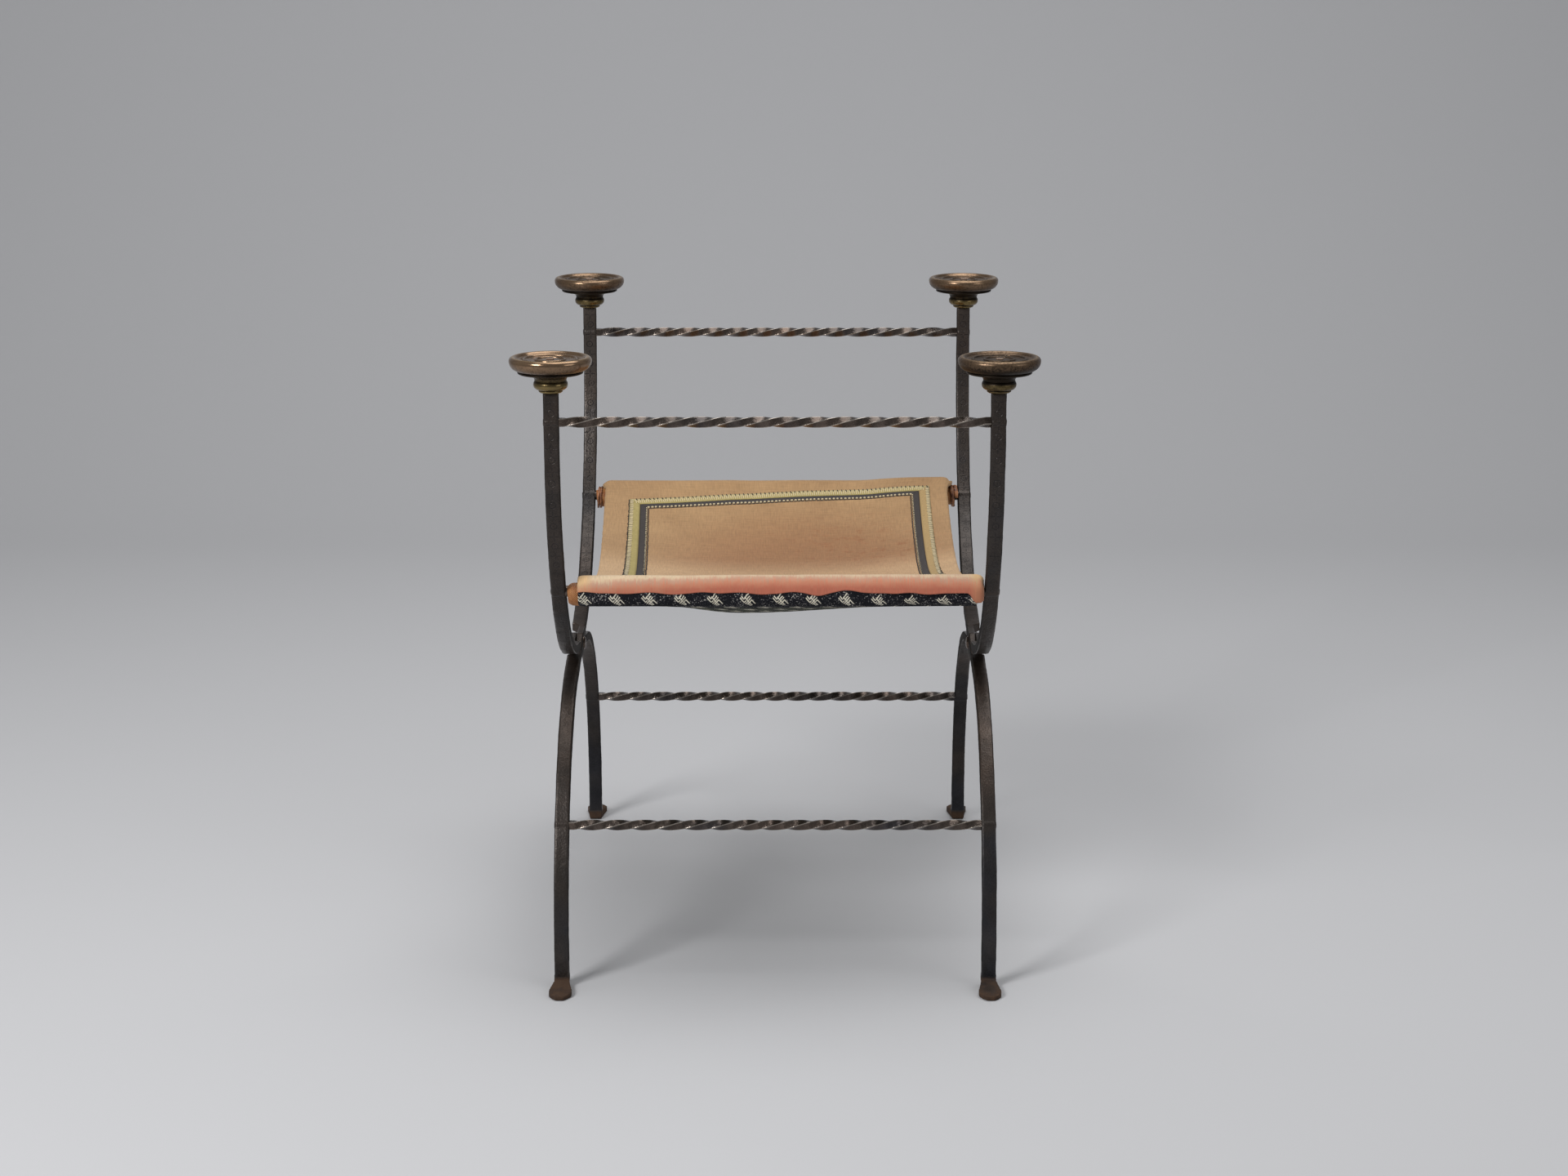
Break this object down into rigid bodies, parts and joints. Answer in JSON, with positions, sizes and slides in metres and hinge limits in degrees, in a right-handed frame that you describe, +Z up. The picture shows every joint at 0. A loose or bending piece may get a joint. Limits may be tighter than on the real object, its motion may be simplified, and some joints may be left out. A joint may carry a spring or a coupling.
{
  "type": "folding stool",
  "caption": "Wrought-iron X-frame folding stool with twisted arm and foot stretchers, bronze finials and a sagging velvet sling seat with a bordered top and a navy lining.",
  "frame": {"origin": "on the floor, midway between the four legs", "axes": "+X to the right in the picture, across the seat rods' length; +Y away from the camera, from the front rod to the rear rod; +Z up"},
  "size_m": [0.557, 0.747, 0.7038],
  "materials": {
    "iron": "forged and worn, dark brown-grey with a faint sheen",
    "bronze": "turned bronze, brown patina with golden worn edges",
    "wrap_leather": "worn tan leather, wound on the rod",
    "thong_leather": "narrow reddish-brown thong",
    "navy_lining": "woven navy cloth with small cream diamonds",
    "velvet": "worn tan velvet, browner in the middle of the seat",
    "tape": "woven cream-green tape with dark stitches",
    "ribbon": "dark woven ribbon"
  },
  "bodies": {
    "outer_frame": {"outer_bar_left": "iron", "outer_bar_right": "iron", "pivot_rivet_left": "iron", "pivot_rivet_right": "iron", "arm_stretcher_front": "iron", "foot_stretcher_rear": "iron", "finial_front_left": "bronze", "finial_front_right": "bronze", "seat_rod_front": "iron", "rod_wrap_front": "wrap_leather", "lining_sleeve_front": "navy_lining", "lining_span": "navy_lining", "velvet_fold_front": "velvet", "velvet_span": "velvet", "border_tape": "tape", "border_ribbon": "ribbon"},
    "inner_frame": {"inner_bar_left": "iron", "inner_bar_right": "iron", "arm_stretcher_rear": "iron", "foot_stretcher_front": "iron", "seat_rod_rear": "iron", "finial_rear_left": "bronze", "finial_rear_right": "bronze", "rod_wrap_rear": "wrap_leather", "lashing_left": "thong_leather", "lashing_right": "thong_leather", "lining_sleeve_rear": "navy_lining", "velvet_fold_rear": "velvet"}
  },
  "joints": [
    {"name": "fold", "type": "hinge", "parent": "outer_frame", "child": "inner_frame", "pos_m": [0, 0, 0.313], "axis": [1, 0, 0], "range_deg": [0, 71], "deforming": ["lining_span", "velvet_span", "border_tape", "border_ribbon"]}
  ]
}
